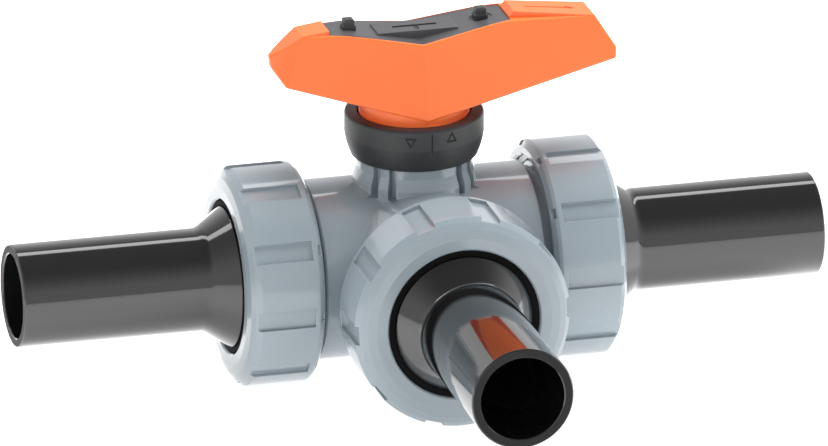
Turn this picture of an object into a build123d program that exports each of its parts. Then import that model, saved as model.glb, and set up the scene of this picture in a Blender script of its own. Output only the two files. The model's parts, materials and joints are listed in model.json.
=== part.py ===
from build123d import *
from math import cos, radians, sin, sqrt
import os

# Three way ball valve, PE pipe ends of 32 mm, bore 25 mm. Millimetres.
# Origin: middle of the foot's mounting face. Z up, run along X, branch towards -Y.
AXIS_Z = 31.0          # height of the pipe axes above the foot face
PORT_LENGTH = 127.3    # crossing of the pipe axes to each pipe end
FLOW_R = 12.5          # flow bore through ball, seats and union bushes

# pipe spigots
PIPE_R = 16.0
PIPE_BORE_R = 13.05
SPIGOT_R = 21.7        # thick end that passes through the nut
FLANGE_R = 25.6        # collar that the nut pulls against the body
CONE_END_T = 68.4      # where the cone meets the pipe

# union nuts
NUT_R = 34.0
NUT_REAR_T = 36.5      # distances T are along a port, from the crossing of the axes
NUT_EDGE_T = 57.2
NUT_FRONT_T = 60.2
NUT_OPENING_R = 23.85
NUT_ROOT_R = 27.5
NUT_LIP_T = 56.5
POCKETS = 10
POCKET_WIDTH = 6.1
POCKET_DEPTH = 1.2
POCKET_REAR_T = 40.0

# valve body
BARREL_R = 28.0
BARREL_END_T = 35.0
BODY_END_T = 52.0
BODY_BORE_R = 22.6
BACK_BOSS_R = 18.5
BODY_ROOT_R = 25.8
THREAD_CREST_R = 27.2
THREAD_PITCH = 3.8
THREAD_FIRST_T = 38.9
THREAD_RINGS = 4

# union bushes, seats and rings
BUSH_R = 22.4
BUSH_NOSE_R = 16.7
BUSH_NOSE_T = 17.0
BUSH_STEP_T = 23.0
BUSH_END_T = 51.9
SEAT_R = 15.4
SEAT_BORE_R = 12.6
SEAT_BACK_T = 20.5
SEAT_FRONT_T = 16.16
SEAT_RECESS_R = 15.5
SEAT_FACE_R = 22.05
SEAT_RING = (14.0, 0.85, 21.4)    # O-rings: middle radius, section radius, distance T
BUSH_RING = (21.45, 1.15, 30.0)
FACE_RING = (16.5, 1.15, 50.85)

# ball and stem
BALL_R = 22.0
STEM_R = 7.9
NECK_BORE_R = 7.98
STEM_FLANGE_R = 11.0
STEM_FLANGE_Z = (22.6, 26.2)      # heights Z_ are above the pipe axes
STEM_RING_Z = (28.5, 32.2)
STEM_RING_R = 6.85
STEM_RING_SECTION = 1.08
DRIVE_SIZE = 10.6
DRIVE_TOP = 54.0
TONGUE_WIDTH = 7.8
TONGUE_BOTTOM = 16.2

# neck and locking collar
NECK_R = 18.0
NECK_FOOT_R = 19.2
NECK_TOP = 36.0
SLOT_OFFSET = 9.5      # the slots stand in pairs beside the four diagonals
SLOT_WIDTH = 2.8
SLOT_FLOOR_R = 15.5
SLOT_BOTTOM = 25.5
KEY_WIDTH = 2.2
COLLAR_R = 21.5
COLLAR_BOTTOM = 35.4
COLLAR_TOP = 49.3
COLLAR_BORE_R = 17.45
COLLAR_SKIRT_R = 18.35
HUB_R = 17.1
HUB_BOTTOM = 36.5

# handle
TIP_Z = 50.4           # lowest point of the grip, over the stem
LEFT_NOSE_X = -46.2
RIGHT_NOSE_X = 64.0
GRIP_EDGE_R = 0.9
WALL = 2.6
KEY_CLEARANCE = 0.3
KEY_THICKNESS = 3.4
LUG_X = 20.9

# foot
FOOT_SIZE = (34.0, 22.0)
INSERT_PITCH = 25.0
INSERT_R = 3.8
INSERT_LENGTH = 6.5
INSERT_HOLE_R = 2.5

CROSSING = (0, 0, AXIS_Z)
RIGHT = Plane(origin=CROSSING, x_dir=(0, 1, 0), z_dir=(1, 0, 0))
LEFT = Plane(origin=CROSSING, x_dir=(0, 1, 0), z_dir=(-1, 0, 0))
FRONT = Plane(origin=CROSSING, x_dir=(1, 0, 0), z_dir=(0, -1, 0))
BACK = Plane(origin=CROSSING, x_dir=(1, 0, 0), z_dir=(0, 1, 0))
UP = Plane(origin=CROSSING, x_dir=(1, 0, 0), z_dir=(0, 0, 1))
SIDE = Plane(origin=CROSSING, x_dir=(1, 0, 0), z_dir=(0, -1, 0))
PORTS = {"left": LEFT, "right": RIGHT, "front": FRONT}
SLOT_ANGLES = [45 + quarter + side for quarter in (0, 90, 180, 270) for side in (-SLOT_OFFSET, SLOT_OFFSET)]

os.makedirs("parts", exist_ok=True)


def save(part, name):
    part.label = name
    export_step(part, f"parts/{name}.step")


def axis_of(port):
    return Axis(port.origin, port.z_dir)


def half_section(port):
    """Plane with the radius along its x and the distance along the port along its y."""
    return Plane(origin=port.origin, x_dir=port.x_dir, z_dir=-port.y_dir)


def turned(port, points):
    """Solid of revolution from (radius, distance) points."""
    with BuildPart() as solid:
        with BuildSketch(half_section(port)):
            with BuildLine():
                Polyline(*points, close=True)
            make_face()
        revolve(axis=axis_of(port))
    return solid.part


def ring_of(port, ring):
    """O-ring from (middle radius, section radius, distance)."""
    middle, section, distance = ring
    with BuildPart() as o_ring:
        with BuildSketch(half_section(port)):
            with Locations((middle, distance)):
                Circle(section)
        revolve(axis=axis_of(port))
    return o_ring.part


def thread_points(root, crest, first, count, half_root, half_crest):
    """Profile points of parallel thread rings, from the rear to the front."""
    points = []
    for number in range(count):
        middle = first + number * THREAD_PITCH
        points.append((root, middle - half_root))
        points.append((crest, middle - half_crest))
        points.append((crest, middle + half_crest))
        points.append((root, middle + half_root))
    return points


# ---------------------------------------------------------------- valve body
def body_branch(port):
    points = [(0, 0), (BARREL_R, 0), (BARREL_R, BARREL_END_T - 0.6), (BARREL_R - 0.6, BARREL_END_T)]
    points.append((BODY_ROOT_R, BARREL_END_T))
    points += thread_points(BODY_ROOT_R, THREAD_CREST_R, THREAD_FIRST_T, THREAD_RINGS, 1.2, 0.6)
    points += [(BODY_ROOT_R, BODY_END_T - 0.3), (BODY_ROOT_R - 0.3, BODY_END_T), (0, BODY_END_T)]
    return turned(port, points)


NECK_POINTS = [(0, 20), (NECK_FOOT_R, 20), (NECK_FOOT_R, 28.5), (NECK_R, 32.2), (NECK_R, NECK_TOP - 0.5),
               (NECK_R - 0.5, NECK_TOP), (0, NECK_TOP)]

with BuildPart() as valve_body:
    for name in PORTS:
        add(body_branch(PORTS[name]))
    add(turned(UP, NECK_POINTS))
    with BuildSketch(BACK):
        Circle(BACK_BOSS_R)
    extrude(amount=BARREL_R)
    with BuildSketch(Plane.XY):
        RectangleRounded(FOOT_SIZE[0], FOOT_SIZE[1], 5)
    extrude(amount=10)
    # flow chamber: one bore along each port, closed at the back
    with BuildSketch(LEFT.offset(-BODY_END_T - 1)):
        Circle(BODY_BORE_R)
    extrude(amount=2 * BODY_END_T + 2, mode=Mode.SUBTRACT)
    with BuildSketch(FRONT):
        Circle(BODY_BORE_R)
    extrude(amount=BODY_END_T + 1, mode=Mode.SUBTRACT)
    # recess of the back seat and the groove of its ring
    with BuildSketch(BACK):
        Circle(SEAT_RECESS_R)
    extrude(amount=SEAT_BACK_T + 0.1, mode=Mode.SUBTRACT)
    with BuildSketch(BACK.offset(SEAT_BACK_T)):
        Circle(SEAT_RING[0] + 0.95)
        Circle(SEAT_RING[0] - 0.95, mode=Mode.SUBTRACT)
    extrude(amount=1.75, mode=Mode.SUBTRACT)
    # stem bore with the counterbore of the stem flange
    with BuildSketch(UP):
        Circle(STEM_FLANGE_R + 0.3)
    extrude(amount=STEM_FLANGE_Z[1] + 0.3, mode=Mode.SUBTRACT)
    with BuildSketch(UP):
        Circle(NECK_BORE_R)
    extrude(amount=NECK_TOP + 1, mode=Mode.SUBTRACT)
    # locking slots, open at the top of the neck
    for angle in SLOT_ANGLES:
        with BuildSketch(UP.offset(SLOT_BOTTOM)):
            with PolarLocations(SLOT_FLOOR_R + 3, 1, start_angle=angle):
                Rectangle(6, SLOT_WIDTH)
        extrude(amount=NECK_TOP - SLOT_BOTTOM + 1, mode=Mode.SUBTRACT)
    # blind holes for the brass inserts
    with BuildSketch(Plane.XY):
        with GridLocations(INSERT_PITCH, 1, 2, 1):
            Circle(INSERT_R)
    extrude(amount=INSERT_LENGTH, mode=Mode.SUBTRACT)
save(valve_body.part, "valve_body")

for side, x in (("left", -INSERT_PITCH / 2), ("right", INSERT_PITCH / 2)):
    with BuildPart() as foot_insert:
        with BuildSketch(Plane(origin=(x, 0, 0))):
            Circle(INSERT_R)
        extrude(amount=INSERT_LENGTH)
        with BuildSketch(Plane(origin=(x, 0, 0))):
            Circle(INSERT_HOLE_R)
        extrude(amount=INSERT_LENGTH - 0.8, mode=Mode.SUBTRACT)
    save(foot_insert.part, f"foot_insert_{side}")


# ---------------------------------------------------------------- union nuts
def union_nut(port, phase):
    points = [(29.6, NUT_REAR_T), (31.6, NUT_REAR_T), (33.4, 37.6), (NUT_R, 38.6)]
    points += [(NUT_R, NUT_EDGE_T - 0.3), (NUT_R - 0.35, NUT_EDGE_T + 0.1), (32.4, 58.5), (30.4, 59.6)]
    points += [(27.6, NUT_FRONT_T), (24.35, NUT_FRONT_T), (NUT_OPENING_R, NUT_FRONT_T - 0.5)]
    points += [(NUT_OPENING_R, NUT_LIP_T), (NUT_ROOT_R, NUT_LIP_T)]
    first = THREAD_FIRST_T + THREAD_PITCH / 2
    rings = thread_points(NUT_ROOT_R, 26.25, first, THREAD_RINGS - 1, 1.1, 0.5)
    points += rings[::-1]
    points += [(NUT_ROOT_R, 39.2), (29.0, 38.2), (29.0, 37.1)]
    with BuildPart() as nut:
        add(turned(port, points))
        with BuildSketch(port.offset(POCKET_REAR_T)):
            with PolarLocations(NUT_R - POCKET_DEPTH + 2, POCKETS, start_angle=phase):
                Rectangle(4, POCKET_WIDTH)
        extrude(amount=NUT_FRONT_T - POCKET_REAR_T, mode=Mode.SUBTRACT)
        # notches in the rear edge, one behind each pocket
        with BuildSketch(port.offset(NUT_REAR_T - 0.5)):
            with PolarLocations(32.8, POCKETS, start_angle=phase):
                Rectangle(1.5, 3.2)
        extrude(amount=2.9, mode=Mode.SUBTRACT)
    return nut.part


NUT_PHASES = {"left": -6, "right": 34, "front": 2.6}
for name in PORTS:
    save(union_nut(PORTS[name], NUT_PHASES[name]), f"{name}_union_nut")


# ---------------------------------------------------------------- pipe spigots
def pipe_spigot(port):
    points = [(FLOW_R, BODY_END_T), (FLANGE_R - 0.4, BODY_END_T), (FLANGE_R, BODY_END_T + 0.4)]
    points += [(FLANGE_R, 55.8), (FLANGE_R - 0.4, 56.2), (SPIGOT_R, 56.2), (SPIGOT_R, NUT_FRONT_T)]
    points += [(PIPE_R, CONE_END_T), (PIPE_R, PORT_LENGTH - 0.4), (PIPE_R - 0.4, PORT_LENGTH)]
    points += [(PIPE_BORE_R + 0.3, PORT_LENGTH), (PIPE_BORE_R, PORT_LENGTH - 0.3), (PIPE_BORE_R, 68.0), (FLOW_R, 62.0)]
    with BuildPart() as spigot:
        add(turned(port, points))
        rims = spigot.edges().filter_by(GeomType.CIRCLE).filter_by(lambda rim: abs(rim.radius - PIPE_R) < 0.01)
        fillet(rims.sort_by_distance(port.origin)[0], 4)
    return spigot.part


for name in PORTS:
    save(pipe_spigot(PORTS[name]), f"{name}_pipe_spigot")


# ---------------------------------------------------------------- union bushes
def union_bush(port):
    face_r, face_section, face_t = FACE_RING
    ring_r, ring_section, ring_t = BUSH_RING
    seat_floor = SEAT_BACK_T + 0.05
    points = [(FLOW_R, seat_floor), (SEAT_RING[0] - 0.95, seat_floor), (SEAT_RING[0] - 0.95, 22.25)]
    points += [(SEAT_RING[0] + 0.95, 22.25), (SEAT_RING[0] + 0.95, seat_floor), (SEAT_RECESS_R, seat_floor)]
    points += [(SEAT_RECESS_R, BUSH_NOSE_T), (BUSH_NOSE_R, BUSH_NOSE_T), (BUSH_NOSE_R, BUSH_STEP_T)]
    points += [(BUSH_R, BUSH_STEP_T), (BUSH_R, ring_t - 1.3), (ring_r - ring_section, ring_t - 1.3)]
    points += [(ring_r - ring_section, ring_t + 1.3), (BUSH_R, ring_t + 1.3), (BUSH_R, BUSH_END_T)]
    points += [(face_r + 1.3, BUSH_END_T), (face_r + 1.3, face_t - face_section)]
    points += [(face_r - 1.3, face_t - face_section), (face_r - 1.3, BUSH_END_T), (FLOW_R, BUSH_END_T)]
    with BuildPart() as bush:
        add(turned(port, points))
        with BuildSketch(port.offset(BUSH_END_T - 3.2)):
            with PolarLocations(LUG_X + 0.6, 2):
                Rectangle(4, 4)
        extrude(amount=4, mode=Mode.SUBTRACT)
    return bush.part


for name in PORTS:
    save(union_bush(PORTS[name]), f"{name}_union_bush")
    save(ring_of(PORTS[name], BUSH_RING), f"{name}_bush_o_ring")
    save(ring_of(PORTS[name], FACE_RING), f"{name}_face_o_ring")


# ---------------------------------------------------------------- ball seats
def ball_seat(port):
    face_in = sqrt(SEAT_FACE_R ** 2 - SEAT_BORE_R ** 2)
    face_out = sqrt(SEAT_FACE_R ** 2 - SEAT_FRONT_T ** 2)
    middle_r = (SEAT_BORE_R + face_out) / 2
    middle_t = sqrt(SEAT_FACE_R ** 2 - middle_r ** 2)
    with BuildPart() as seat:
        with BuildSketch(half_section(port)):
            with BuildLine():
                ThreePointArc((SEAT_BORE_R, face_in), (middle_r, middle_t), (face_out, SEAT_FRONT_T))
                Polyline((face_out, SEAT_FRONT_T), (SEAT_R, SEAT_FRONT_T), (SEAT_R, SEAT_BACK_T),
                         (SEAT_BORE_R, SEAT_BACK_T), (SEAT_BORE_R, face_in))
            make_face()
        revolve(axis=axis_of(port))
    return seat.part


SEATS = dict(PORTS, back=BACK)
for name in SEATS:
    save(ball_seat(SEATS[name]), f"{name}_ball_seat")
    save(ring_of(SEATS[name], SEAT_RING), f"{name}_seat_o_ring")

# ---------------------------------------------------------------- ball
with BuildPart() as ball:
    with Locations(CROSSING):
        Sphere(BALL_R)
    with BuildSketch(LEFT.offset(-BALL_R - 1)):
        Circle(FLOW_R)
    extrude(amount=2 * BALL_R + 2, mode=Mode.SUBTRACT)
    with BuildSketch(FRONT):
        Circle(FLOW_R)
    extrude(amount=BALL_R + 1, mode=Mode.SUBTRACT)
    with BuildSketch(UP.offset(TONGUE_BOTTOM - 0.1)):
        Rectangle(2 * BALL_R, TONGUE_WIDTH + 0.1)
    extrude(amount=BALL_R, mode=Mode.SUBTRACT)
save(ball.part, "ball")

# ---------------------------------------------------------------- stem
groove_r = STEM_RING_R - STEM_RING_SECTION
stem_points = [(0, STEM_FLANGE_Z[0]), (STEM_FLANGE_R, STEM_FLANGE_Z[0]), (STEM_FLANGE_R, STEM_FLANGE_Z[1])]
stem_points.append((STEM_R, STEM_FLANGE_Z[1]))
for height in STEM_RING_Z:
    stem_points += [(STEM_R, height - 1.2), (groove_r, height - 1.2)]
    stem_points += [(groove_r, height + 1.2), (STEM_R, height + 1.2)]
stem_points += [(STEM_R, 38), (0, 38)]

with BuildPart() as stem:
    add(turned(UP, stem_points))
    with BuildSketch(UP.offset(TONGUE_BOTTOM)):
        Rectangle(18, TONGUE_WIDTH)
    extrude(amount=STEM_FLANGE_Z[0] - TONGUE_BOTTOM)
    with BuildSketch(UP.offset(38)):
        Rectangle(DRIVE_SIZE, DRIVE_SIZE)
    extrude(amount=DRIVE_TOP - 38)
save(stem.part, "stem")

for side, height in (("lower", STEM_RING_Z[0]), ("upper", STEM_RING_Z[1])):
    save(ring_of(UP, (STEM_RING_R, STEM_RING_SECTION, height)), f"{side}_stem_o_ring")

# ---------------------------------------------------------------- locking collar
collar_points = [(COLLAR_SKIRT_R, COLLAR_BOTTOM), (19.2, COLLAR_BOTTOM), (19.6, 35.8), (20.5, 38.2), (21.1, 40.4)]
collar_points += [(COLLAR_R, 42.6), (COLLAR_R, 48.5), (21.3, 49.0), (20.9, COLLAR_TOP)]
collar_points += [(COLLAR_BORE_R + 0.4, COLLAR_TOP), (COLLAR_BORE_R, 48.9)]
collar_points += [(COLLAR_BORE_R, 38.9), (COLLAR_SKIRT_R, 38.9)]


def mark_plane(angle):
    """Plane that touches the collar at an angle from the front, facing out."""
    out = (sin(radians(angle)), -cos(radians(angle)), 0)
    along = (cos(radians(angle)), sin(radians(angle)), 0)
    return Plane(origin=(out[0] * COLLAR_R, out[1] * COLLAR_R, AXIS_Z + 46.0), x_dir=along, z_dir=out)


with BuildPart() as lock_collar:
    add(turned(UP, collar_points))
    for angle in SLOT_ANGLES:
        with BuildSketch(UP.offset(36.4)):
            with PolarLocations(16.8, 1, start_angle=angle):
                Rectangle(2.0, KEY_WIDTH)
        extrude(amount=11.6)
    # opening and closing marks: a groove with a triangle on each side, front and back
    for facing in (0, 180):
        with BuildSketch(mark_plane(facing)):
            with Locations((0, -2.6)):
                Rectangle(0.5, 9.5)
        extrude(amount=-0.5, mode=Mode.SUBTRACT)
        for turn, tip in ((-17.5, 180), (17.5, 0)):
            with BuildSketch(mark_plane(facing + turn)):
                RegularPolygon(2.1, 3, rotation=90 + tip)
                RegularPolygon(1.3, 3, rotation=90 + tip, mode=Mode.SUBTRACT)
            extrude(amount=-0.45, mode=Mode.SUBTRACT)
save(lock_collar.part, "lock_collar")


# ---------------------------------------------------------------- handle
def half_width(x, z):
    """Half width of the grip: flat flanks that close in to both ends and upwards."""
    rate = 0.1694 if x < 0 else 0.0889
    return 28.85 - rate * abs(x) - 0.225 * z


def grip_outline(z, inset):
    left_x = -42.3 + (z - 62.05) * 5.7 / 15.55 + inset
    right_x = RIGHT_NOSE_X - inset
    near = [(0, half_width(0, z) - inset), (left_x, half_width(left_x, z) - inset)]
    near.append((LEFT_NOSE_X - 0.3 + inset, 0.9))
    far = [(x, -y) for x, y in near[::-1]]
    right = half_width(right_x, z) - inset
    return near + far + [(right_x, -right), (right_x, right)]


def grip_wedge(inset):
    with BuildPart() as wedge:
        for z in (46.0, 84.0):
            with BuildSketch(UP.offset(z)):
                Polygon(*grip_outline(z, inset), align=None)
        loft(ruled=True)
    return wedge.part


GRIP_SIDE = [(0, TIP_Z), (62.0, 62.9), (62.3, 66.4), (55.8, 76.8), (28.4, 78.2), (21.7, 77.6),
             (0, 73.9), (-21.7, 77.5), (-36.6, 77.6), (LEFT_NOSE_X, 70.8), (LEFT_NOSE_X + 0.5, 67.2), (-42.3, 62.05)]
CAVITY_SIDE = [(0, 40.0), (57.5, 40.0), (58.8, 66.0), (53.8, 73.6), (28.4, 71.4), (21.7, 70.8), (0, 67.4),
               (-21.7, 70.7), (-33.5, 73.0), (-43.0, 68.6), (-40.0, 40.0)]
KEY_TOP = [(-27.9, 77.5), (-21.7, 77.4), (0, 73.8), (21.7, 77.4), (28.4, 78.0)]
KEY_PLAN = [(-27.9, 5.5), (-21.7, 7.3), (0, 11.0), (21.7, 8.6), (28.4, 7.2)]


def key_plate(side_gap, floor_gap, rise):
    """Plate that follows the shallow V of the grip's top, with straight up and down sides."""
    left, right = KEY_TOP[0], KEY_TOP[-1]
    upper = [(left[0] - side_gap, left[1] + rise)] + [(x, z + rise) for x, z in KEY_TOP[1:-1]]
    upper.append((right[0] + side_gap, right[1] + rise))
    lower = [(left[0] - side_gap, left[1] - KEY_THICKNESS - floor_gap)]
    lower += [(x, z - KEY_THICKNESS - floor_gap) for x, z in KEY_TOP[1:-1]]
    lower.append((right[0] + side_gap, right[1] - KEY_THICKNESS - floor_gap))
    plan = [(x, y + side_gap) for x, y in KEY_PLAN]
    plan[0] = (plan[0][0] - side_gap, plan[0][1])
    plan[-1] = (plan[-1][0] + side_gap, plan[-1][1])
    with BuildPart() as plate:
        with BuildSketch(SIDE):
            Polygon(*(upper + lower[::-1]), align=None)
        extrude(amount=20, both=True)
        with BuildSketch(UP.offset(60)):
            Polygon(*(plan + [(x, -y) for x, y in plan[::-1]]), align=None)
        extrude(amount=40, mode=Mode.INTERSECT)
    return plate.part


def end_block(side_points, plan_points):
    """Raised wedge on the top of the grip, beside the key plate."""
    with BuildPart() as block:
        with BuildSketch(SIDE):
            Polygon(*side_points, align=None)
        extrude(amount=12, both=True)
        with BuildSketch(UP.offset(60)):
            Polygon(*plan_points, align=None)
        extrude(amount=40, mode=Mode.INTERSECT)
    return block.part


with BuildPart() as grip_cavity:
    with BuildSketch(SIDE):
        Polygon(*CAVITY_SIDE, align=None)
    extrude(amount=20, both=True)
    add(grip_wedge(WALL), mode=Mode.INTERSECT)

RIGHT_BLOCK_SIDE = [(28.7, 74.5), (28.7, 78.3), (30.2, 80.0), (55.6, 76.8), (55.6, 74.5)]
RIGHT_BLOCK_PLAN = [(28.7, 5.4), (28.7, -5.4), (55.6, -6.5), (55.6, 6.5)]
LEFT_BLOCK_SIDE = [(-28.2, 76.0), (-28.2, 78.6), (-36.6, 77.6), (-36.6, 76.0)]
LEFT_BLOCK_PLAN = [(-28.2, 5.2), (-28.2, -5.2), (-36.6, -4.9), (-36.6, 4.9)]
BLOCK_TOP = Plane(origin=(43, 0, AXIS_Z + 78.4), x_dir=(25.6, 0, -3.2), z_dir=(3.2, 0, 25.6))

with BuildPart() as handle:
    with BuildSketch(SIDE):
        Polygon(*GRIP_SIDE, align=None)
    extrude(amount=20, both=True)
    add(grip_wedge(0), mode=Mode.INTERSECT)
    fillet(handle.edges(), GRIP_EDGE_R)
    add(grip_cavity.part, mode=Mode.SUBTRACT)
    # hub that turns the stem, with the grooves of the collar's keys
    with BuildSketch(UP.offset(HUB_BOTTOM)):
        Circle(HUB_R)
    extrude(amount=COLLAR_TOP - HUB_BOTTOM)
    with BuildSketch(UP.offset(COLLAR_TOP)):
        Circle(HUB_R - 0.6)
    extrude(amount=4.5)
    with BuildSketch(UP.offset(53)):
        Circle(12.0)
    extrude(amount=16)
    for angle in SLOT_ANGLES:
        with BuildSketch(UP.offset(HUB_BOTTOM)):
            with PolarLocations(SLOT_FLOOR_R + 1.5, 1, start_angle=angle):
                Rectangle(3, SLOT_WIDTH)
        extrude(amount=48.6 - HUB_BOTTOM, mode=Mode.SUBTRACT)
    add(end_block(RIGHT_BLOCK_SIDE, RIGHT_BLOCK_PLAN))
    add(end_block(LEFT_BLOCK_SIDE, LEFT_BLOCK_PLAN))
    # arrow on the longer end of the grip
    with BuildSketch(BLOCK_TOP):
        with Locations((-1.5, 0)):
            Rectangle(13, 0.8)
        with Locations((6, 0)):
            RegularPolygon(2.0, 3)
    extrude(amount=-0.35, mode=Mode.SUBTRACT)
    # seat of the key plate and the socket of the stem's square
    add(key_plate(KEY_CLEARANCE, KEY_CLEARANCE, 4), mode=Mode.SUBTRACT)
    with BuildSketch(UP.offset(HUB_BOTTOM)):
        Circle(STEM_R + 0.1)
    extrude(amount=38.2 - HUB_BOTTOM, mode=Mode.SUBTRACT)
    with BuildSketch(UP.offset(HUB_BOTTOM)):
        Rectangle(DRIVE_SIZE + 0.1, DRIVE_SIZE + 0.1)
    extrude(amount=DRIVE_TOP + 0.2 - HUB_BOTTOM, mode=Mode.SUBTRACT)
save(handle.part, "handle")

# ---------------------------------------------------------------- key plate in the handle's top
with BuildPart() as key:
    add(key_plate(0, 0, 0))
    # raised middle panel with a T that stands for the ball's flow path
    with BuildSketch(UP.offset(76.4)):
        Rectangle(25.4, 10)
    extrude(amount=-3.5)
    with BuildSketch(UP.offset(76.4)):
        Rectangle(14, 1.6)
        with Locations((0, -1.9)):
            Rectangle(1.6, 3.4)
    extrude(amount=-0.6, mode=Mode.SUBTRACT)
    # shallow round recess about the right lug
    with BuildSketch(Plane(origin=(LUG_X, 0, AXIS_Z + 77.6), x_dir=(21.7, 0, 3.6), z_dir=(-3.6, 0, 21.7))):
        Circle(3.5)
    extrude(amount=-0.8, mode=Mode.SUBTRACT)
save(key.part, "handle_key")

for side, x in (("left", -LUG_X), ("right", LUG_X)):
    with BuildPart() as lug:
        with BuildSketch(UP.offset(76.2)):
            with Locations((x, 0)):
                Rectangle(4.0, 3.8)
        extrude(amount=2.2)
        with BuildSketch(UP.offset(78.2)):
            with Locations((x, 0)):
                Rectangle(3.2, 3.2)
        extrude(amount=2.4)
        chamfer(lug.edges().group_by(Axis.Z)[-1], 0.4)
        add(key.part, mode=Mode.SUBTRACT)
    save(lug.part, f"{side}_key_lug")
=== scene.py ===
import json
from math import cos, pi, radians, sin

import bmesh
import bpy
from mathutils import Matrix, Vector


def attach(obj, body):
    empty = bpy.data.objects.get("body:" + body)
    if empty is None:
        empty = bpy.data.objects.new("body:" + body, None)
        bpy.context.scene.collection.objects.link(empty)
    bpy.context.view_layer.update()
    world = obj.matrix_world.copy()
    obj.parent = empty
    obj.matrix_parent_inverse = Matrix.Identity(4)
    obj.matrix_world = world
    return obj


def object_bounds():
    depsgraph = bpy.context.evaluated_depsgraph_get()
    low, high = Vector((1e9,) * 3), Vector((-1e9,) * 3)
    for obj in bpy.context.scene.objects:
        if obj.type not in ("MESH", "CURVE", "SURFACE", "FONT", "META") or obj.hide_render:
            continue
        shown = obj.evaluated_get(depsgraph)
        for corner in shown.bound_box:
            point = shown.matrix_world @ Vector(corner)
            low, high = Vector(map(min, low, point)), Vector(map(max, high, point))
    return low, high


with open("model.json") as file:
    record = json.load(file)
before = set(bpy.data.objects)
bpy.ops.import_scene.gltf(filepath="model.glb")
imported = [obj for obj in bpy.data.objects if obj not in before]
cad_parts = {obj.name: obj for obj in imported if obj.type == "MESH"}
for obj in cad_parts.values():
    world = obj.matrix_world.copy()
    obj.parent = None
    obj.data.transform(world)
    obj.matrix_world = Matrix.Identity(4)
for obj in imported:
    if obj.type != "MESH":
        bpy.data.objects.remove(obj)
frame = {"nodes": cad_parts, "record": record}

cad_low, cad_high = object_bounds()

AXIS = Vector((0.0, 0.0, 0.031))        # crossing of the pipe axes

# ------------------------------------------------------------------ materials
# slot: colour, second colour, roughness, roughness spread, grain per metre, bump depth, coat
FINISH = {
    "body": ((0.282, 0.333, 0.365), (0.264, 0.311, 0.343), 0.11, 0.05, 900, 0.000006, 0.5),
    "nut": ((0.270, 0.320, 0.352), (0.254, 0.300, 0.331), 0.15, 0.06, 900, 0.000008, 0.45),
    "bush": ((0.300, 0.340, 0.370), (0.270, 0.310, 0.340), 0.30, 0.06, 1200, 0.000012, 0.0),
    "ball": ((0.300, 0.330, 0.350), (0.270, 0.300, 0.320), 0.12, 0.04, 1500, 0.000004, 0.3),
    "seat": ((0.800, 0.780, 0.740), (0.740, 0.720, 0.680), 0.32, 0.05, 1500, 0.000006, 0.0),
    "pipe": ((0.0060, 0.0060, 0.0062), (0.0090, 0.0090, 0.0092), 0.05, 0.05, 700, 0.000003, 1.0),
    "handle": ((0.900, 0.166, 0.035), (0.860, 0.155, 0.032), 0.34, 0.08, 1600, 0.000014, 0.0),
    "collar": ((0.022, 0.023, 0.024), (0.017, 0.018, 0.019), 0.46, 0.08, 1800, 0.000020, 0.0),
    "key": ((0.070, 0.070, 0.075), (0.060, 0.060, 0.064), 0.40, 0.08, 1800, 0.000018, 0.0),
    "lug": ((0.040, 0.040, 0.042), (0.030, 0.030, 0.031), 0.42, 0.06, 1800, 0.000018, 0.0),
    "elastomer": ((0.012, 0.012, 0.012), (0.020, 0.020, 0.020), 0.55, 0.08, 2200, 0.000012, 0.0),
    "brass": ((0.620, 0.420, 0.160), (0.520, 0.340, 0.120), 0.28, 0.10, 1500, 0.000010, 0.0),
    # shoulder: real black PE, but darker than the pipe and kept dull as painted shade for the gap inside
    # each nut
    "shoulder": ((0.0030, 0.0030, 0.0030), (0.0045, 0.0045, 0.0045), 0.75, 0.10, 2000, 0.000012, 0.0),
}
STREAKED = {"pipe": 0.04}       # grain stretched along the pipe
SAWN = {"pipe"}                 # cut ends without the skin's shine
METAL = {"brass"}
DULL = {"shoulder"}             # hardly any mirror reflection
MIRROR, DULL_MIRROR = 0.5, 0.08
EDGE_RADIUS = 0.0005            # width of the rounded edges and of their painted highlight


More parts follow.
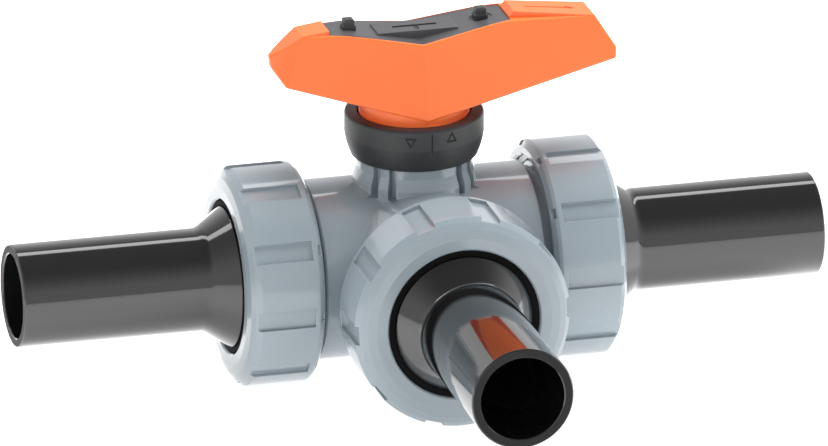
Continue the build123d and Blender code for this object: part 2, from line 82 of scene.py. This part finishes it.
def plastic(name, slot, stretch=(1.0, 1.0, 1.0)):
    """Moulded plastic: mottled colour, fine grain, uneven gloss and a painted highlight that lightens
    the edges.
    """
    colour, second, rough, spread, grain, depth, coat = FINISH[slot]
    mat = bpy.data.materials.new(name)
    mat.use_nodes = True
    nodes, links = mat.node_tree.nodes, mat.node_tree.links
    shader = nodes["Principled BSDF"]
    shader.inputs["Metallic"].default_value = 1.0 if slot in METAL else 0.0
    shader.inputs["IOR"].default_value = 1.5
    shader.inputs["Specular IOR Level"].default_value = DULL_MIRROR if slot in DULL else MIRROR
    shader.inputs["Coat Weight"].default_value = coat
    shader.inputs["Coat Roughness"].default_value = 0.06
    place = nodes.new("ShaderNodeTexCoord")
    mapping = nodes.new("ShaderNodeMapping")
    mapping.inputs["Scale"].default_value = stretch
    links.new(place.outputs["Object"], mapping.inputs["Vector"])

    def noise(scale, detail, vector):
        node = nodes.new("ShaderNodeTexNoise")
        node.inputs["Scale"].default_value = scale
        node.inputs["Detail"].default_value = detail
        links.new(vector, node.inputs["Vector"])
        return node.outputs["Fac"]

    def ramp(value, low, high, out_low, out_high):
        node = nodes.new("ShaderNodeMapRange")
        node.inputs["From Min"].default_value = low
        node.inputs["From Max"].default_value = high
        node.inputs["To Min"].default_value = out_low
        node.inputs["To Max"].default_value = out_high
        links.new(value, node.inputs["Value"])
        return node.outputs["Result"]

    cloud = noise(28.0, 3.0, mapping.outputs["Vector"])
    speck = noise(grain * 0.5, 2.0, mapping.outputs["Vector"])
    blend = nodes.new("ShaderNodeMixRGB")
    blend.inputs["Color1"].default_value = (*second, 1.0)
    blend.inputs["Color2"].default_value = (*colour, 1.0)
    links.new(ramp(cloud, 0.35, 0.6, 0.0, 1.0), blend.inputs["Fac"])
    flecked = nodes.new("ShaderNodeMixRGB")
    flecked.inputs["Color2"].default_value = (*second, 1.0)
    links.new(ramp(speck, 0.5, 0.8, 0.0, 0.6), flecked.inputs["Fac"])
    links.new(blend.outputs["Color"], flecked.inputs["Color1"])
    # painted edge highlight: the colour is lightened where the rounded normal leaves the flat one
    rounded = nodes.new("ShaderNodeBevel")
    rounded.samples = 6
    rounded.inputs["Radius"].default_value = EDGE_RADIUS
    geometry = nodes.new("ShaderNodeNewGeometry")
    facing = nodes.new("ShaderNodeVectorMath")
    facing.operation = "DOT_PRODUCT"
    links.new(rounded.outputs["Normal"], facing.inputs[0])
    links.new(geometry.outputs["Normal"], facing.inputs[1])
    painted_edge_highlight = nodes.new("ShaderNodeMixRGB")
    painted_edge_highlight.inputs["Color2"].default_value = (*[min(1.0, c * 1.35 + 0.012) for c in colour], 1.0)
    links.new(ramp(facing.outputs["Value"], 0.99, 0.86, 0.0, 0.55), painted_edge_highlight.inputs["Fac"])
    links.new(flecked.outputs["Color"], painted_edge_highlight.inputs["Color1"])
    links.new(painted_edge_highlight.outputs["Color"], shader.inputs["Base Color"])
    scuff = noise(75.0, 5.0, mapping.outputs["Vector"])
    gloss = ramp(scuff, 0.3, 0.75, rough - spread * 0.5, rough + spread)
    if slot in SAWN:
        # faces square to the pipe are sawn: matte, without the extruded skin's shine
        along = nodes.new("ShaderNodeVectorMath")
        along.operation = "DOT_PRODUCT"
        along.inputs[1].default_value = [float(factor < 1.0) for factor in stretch]
        links.new(place.outputs["Normal"], along.inputs[0])
        squareness = nodes.new("ShaderNodeMath")
        squareness.operation = "ABSOLUTE"
        links.new(along.outputs["Value"], squareness.inputs[0])

        def by_cut(skin, cut):
            return ramp(squareness.outputs["Value"], 0.97, 0.99, skin, cut)

        links.new(by_cut(coat, 0.0), shader.inputs["Coat Weight"])
        links.new(by_cut(MIRROR, 0.28), shader.inputs["Specular IOR Level"])
        sawn = nodes.new("ShaderNodeMath")
        sawn.operation = "MAXIMUM"
        links.new(by_cut(0.0, 0.6), sawn.inputs[0])
        links.new(gloss, sawn.inputs[1])
        gloss = sawn.outputs["Value"]
    links.new(gloss, shader.inputs["Roughness"])
    bump = nodes.new("ShaderNodeBump")
    bump.inputs["Strength"].default_value = 0.5
    bump.inputs["Distance"].default_value = depth
    links.new(noise(grain, 3.0, mapping.outputs["Vector"]), bump.inputs["Height"])
    links.new(rounded.outputs["Normal"], bump.inputs["Normal"])
    links.new(bump.outputs["Normal"], shader.inputs["Normal"])
    return mat


slots = {row["node"]: row["material_slot"] for row in frame["record"]["subparts"]}
made = {}
for node, obj in frame["nodes"].items():
    slot = slots[node]
    along = (1.0, 1.0, 1.0)
    key = slot
    if slot in STREAKED:
        lengthwise = "y" if node.startswith("front") else "x"
        key = slot + "_" + lengthwise
        along = (1.0, STREAKED[slot], 1.0) if lengthwise == "y" else (STREAKED[slot], 1.0, 1.0)
    if key not in made:
        made[key] = plastic("valve_" + key, slot, along)
    obj.data.materials.clear()
    obj.data.materials.append(made[key])


# ------------------------------------------------------------------ pieces made here
def add_piece(name, mesh, material, body):
    obj = bpy.data.objects.new(name, mesh)
    bpy.context.scene.collection.objects.link(obj)
    mesh.materials.append(material)
    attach(obj, body)
    return obj


def flow_mark():
    """Dark T laid in the recess of the key plate's panel."""
    floor_z, half_bar, half_line, foot_y = 0.1068, 0.00695, 0.00075, -0.00355
    outline = [(-half_bar, half_line), (-half_bar, -half_line)]
    outline += [(-half_line, -half_line), (-half_line, foot_y)]
    outline += [(-x, y) for x, y in outline[::-1]]
    bar, line = (0, 1, 2, 5, 6, 7), (2, 3, 4, 5)
    mesh = bpy.data.meshes.new("flow_mark")
    mesh.from_pydata([(x, y, floor_z) for x, y in outline], [], [bar, line])
    mark = add_piece("flow_mark", mesh, made["lug"], "handle_key")
    solid = mark.modifiers.new("thickness", "SOLIDIFY")
    solid.thickness = 0.0002
    solid.offset = 1.0
    soft = mark.modifiers.new("soft_edges", "BEVEL")
    soft.width = 0.00005
    soft.segments = 2


# shoulder around a spigot: radii, and distances from the crossing of the pipe axes
SHOULDER_IN, SHOULDER_FACE_IN, SHOULDER_FACE_OUT, SHOULDER_OUT = 0.02172, 0.02205, 0.02335, 0.0236
SHOULDER_BACK, SHOULDER_SIDE, SHOULDER_FACE = 0.0568, 0.0594, 0.0597


def spigot_shoulder(name, direction):
    """Black PE shoulder around a spigot, just inside the opening of its nut, coloured darker and duller
    than the pipe as painted shade for the gap.
    """
    out = Vector(direction)
    side = out.cross(Vector((0.0, 0.0, 1.0)))
    profile = [(SHOULDER_IN, SHOULDER_BACK), (SHOULDER_IN, SHOULDER_SIDE)]
    profile += [(SHOULDER_FACE_IN, SHOULDER_FACE), (SHOULDER_FACE_OUT, SHOULDER_FACE)]
    profile += [(SHOULDER_OUT, SHOULDER_SIDE), (SHOULDER_OUT, SHOULDER_BACK)]
    shell = bmesh.new()
    ring = [shell.verts.new(AXIS + out * t + side * r) for r, t in profile]
    edges = [shell.edges.new((ring[i - 1], ring[i])) for i in range(len(ring))]
    bmesh.ops.spin(shell, geom=ring + edges, cent=AXIS, axis=out, angle=2 * pi, steps=96, use_merge=True)
    bmesh.ops.recalc_face_normals(shell, faces=shell.faces)
    mesh = bpy.data.meshes.new(name)
    shell.to_mesh(mesh)
    shell.free()
    add_piece(name, mesh, made["shoulder"], "valve")


# ------------------------------------------------------------------ floor, light, camera
def studio_floor():
    floor_z = cad_low.z - 0.0002
    half_side = 6.0
    mesh = bpy.data.meshes.new("studio_floor")
    corners = [(x * half_side, y * half_side, floor_z) for x, y in ((-1, -1), (1, -1), (1, 1), (-1, 1))]
    mesh.from_pydata(corners, [], [(0, 1, 2, 3)])
    floor = bpy.data.objects.new("studio_floor", mesh)
    bpy.context.scene.collection.objects.link(floor)
    mat = bpy.data.materials.new("studio_floor")
    mat.use_nodes = True
    shader = mat.node_tree.nodes["Principled BSDF"]
    shader.inputs["Base Color"].default_value = (0.65, 0.65, 0.65, 1.0)
    shader.inputs["Roughness"].default_value = 0.9
    shader.inputs["Specular IOR Level"].default_value = 0.0
    shader.inputs["Emission Color"].default_value = (1.0, 1.0, 1.0, 1.0)
    shader.inputs["Emission Strength"].default_value = 0.82
    mesh.materials.append(mat)


def area_light(name, place, target, size, power, mirrored=True):
    data = bpy.data.lights.new(name, "AREA")
    data.shape = "RECTANGLE"
    data.size, data.size_y = size
    data.energy = power
    lamp = bpy.data.objects.new(name, data)
    lamp.location = place
    lamp.rotation_euler = (Vector(target) - Vector(place)).to_track_quat("-Z", "Y").to_euler()
    lamp.visible_glossy = mirrored
    bpy.context.scene.collection.objects.link(lamp)


def studio_world():
    world = bpy.data.worlds.new("studio")
    bpy.context.scene.world = world
    world.use_nodes = True
    nodes, links = world.node_tree.nodes, world.node_tree.links
    sky = nodes["Background"]
    direction = nodes.new("ShaderNodeTexCoord")
    split = nodes.new("ShaderNodeSeparateXYZ")
    links.new(direction.outputs["Generated"], split.inputs["Vector"])
    fade = nodes.new("ShaderNodeValToRGB")
    fade.color_ramp.interpolation = "EASE"
    fade.color_ramp.elements[0].position = 0.25
    fade.color_ramp.elements[0].color = (1.0, 1.0, 1.0, 1.0)
    fade.color_ramp.elements[1].position = 0.95
    fade.color_ramp.elements[1].color = (0.22, 0.22, 0.22, 1.0)
    links.new(split.outputs["Z"], fade.inputs["Fac"])
    links.new(fade.outputs["Color"], sky.inputs["Color"])
    sky.inputs["Strength"].default_value = 0.85


def photo_camera():
    """Camera at the photograph's angle: 15 degrees to the left, 20 degrees up, with a very long lens."""
    azimuth, elevation = radians(-15.0), radians(20.0)
    lens, sensor, view_width = 850.0, 36.0, 0.25477
    target = AXIS + Vector((0.0, 0.0, 0.01185))
    away = Vector((sin(azimuth) * cos(elevation), -cos(azimuth) * cos(elevation), sin(elevation)))
    data = bpy.data.cameras.new("camera")
    data.lens = lens
    data.sensor_width = sensor
    data.clip_start = 0.1
    data.clip_end = 100.0
    camera = bpy.data.objects.new("camera", data)
    camera.location = target + away * (view_width * lens / sensor)
    camera.rotation_euler = (-away).to_track_quat("-Z", "Y").to_euler()
    bpy.context.scene.collection.objects.link(camera)
    bpy.context.scene.camera = camera


flow_mark()
made["shoulder"] = plastic("valve_shoulder", "shoulder")
for port, direction in (("left", (-1, 0, 0)), ("right", (1, 0, 0)), ("front", (0, -1, 0))):
    spigot_shoulder(port + "_spigot_shoulder", direction)
studio_floor()
studio_world()
area_light("back_strip", (0.0, 0.64, 1.05), AXIS, (2.4, 0.22), 5.5)
area_light("front_fill", (-0.9, -1.5, 0.8), AXIS, (1.2, 1.2), 6.5, mirrored=False)
area_light("top_fill", (0.6, 0.35, 1.6), AXIS, (1.4, 1.4), 46.0, mirrored=False)
photo_camera()
bpy.context.scene.view_settings.view_transform = "Standard"
